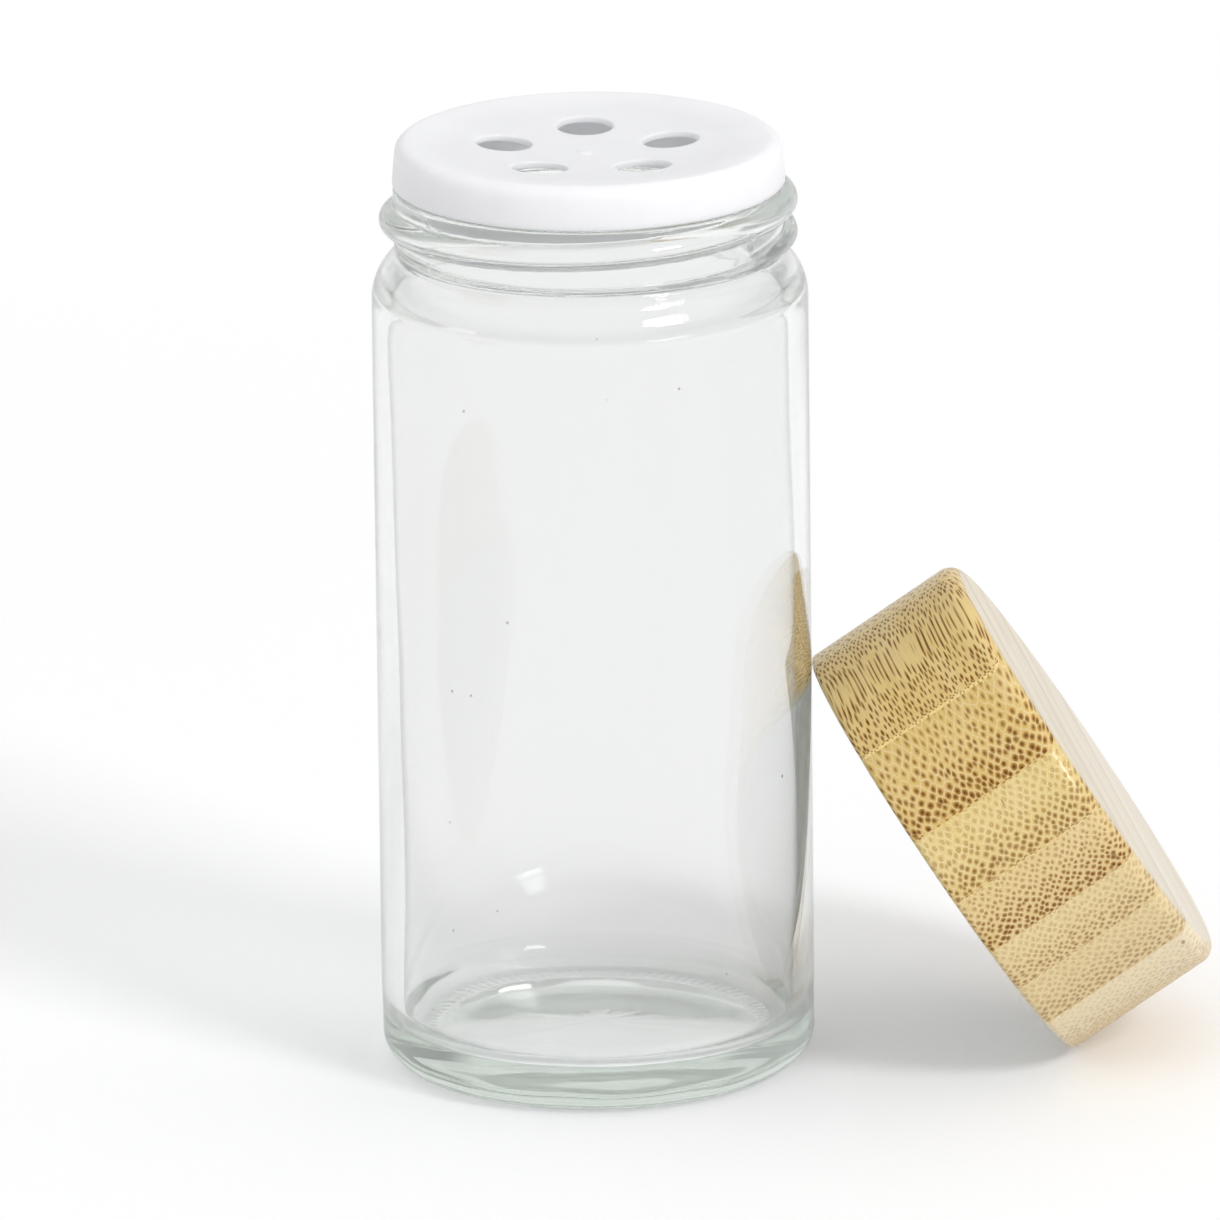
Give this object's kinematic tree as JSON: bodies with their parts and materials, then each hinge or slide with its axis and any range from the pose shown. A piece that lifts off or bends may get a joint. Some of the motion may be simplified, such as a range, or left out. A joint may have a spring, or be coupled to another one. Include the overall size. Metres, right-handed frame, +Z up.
{
  "type": "spice jar",
  "caption": "Round clear glass spice jar with a white shaker insert and a bamboo screw lid, taken off and leaning against the jar.",
  "frame": {"origin": "centre of the ring that the jar stands on, on the jar's axis", "axes": "+Z up along the jar's axis, +X towards the lid that leans against the jar, lid axis in the plane Y = 0"},
  "size_m": [0.0853, 0.0482, 0.0971],
  "materials": {
    "clear_glass": "clear, polished",
    "white_plastic": "satin",
    "bamboo": "clear lacquered end grain",
    "cup_plastic": "satin",
    "liner_foam": "matte closed-cell foam"
  },
  "bodies": {
    "jar": {"glass_jar": "clear_glass"},
    "insert": {"shaker_insert": "white_plastic"},
    "liner": {"lid_liner": "liner_foam"},
    "lid": {"lid_shell": "bamboo", "lid_thread_cup": "cup_plastic"}
  },
  "joints": [
    {"name": "insert_pull", "type": "slide", "parent": "jar", "child": "insert", "axis": [0, 0, 1], "range_m": [0, 0.015]},
    {"name": "lid_lift", "type": "slide", "parent": "jar", "child": "liner", "axis": [0.8358, 0, 0.549], "range_m": [0, 0.02]},
    {"name": "lid_turn", "type": "hinge", "parent": "liner", "child": "lid", "pos_m": [0.03554, 0, 0.01997], "axis": [0.8358, 0, 0.549], "continuous": true}
  ]
}
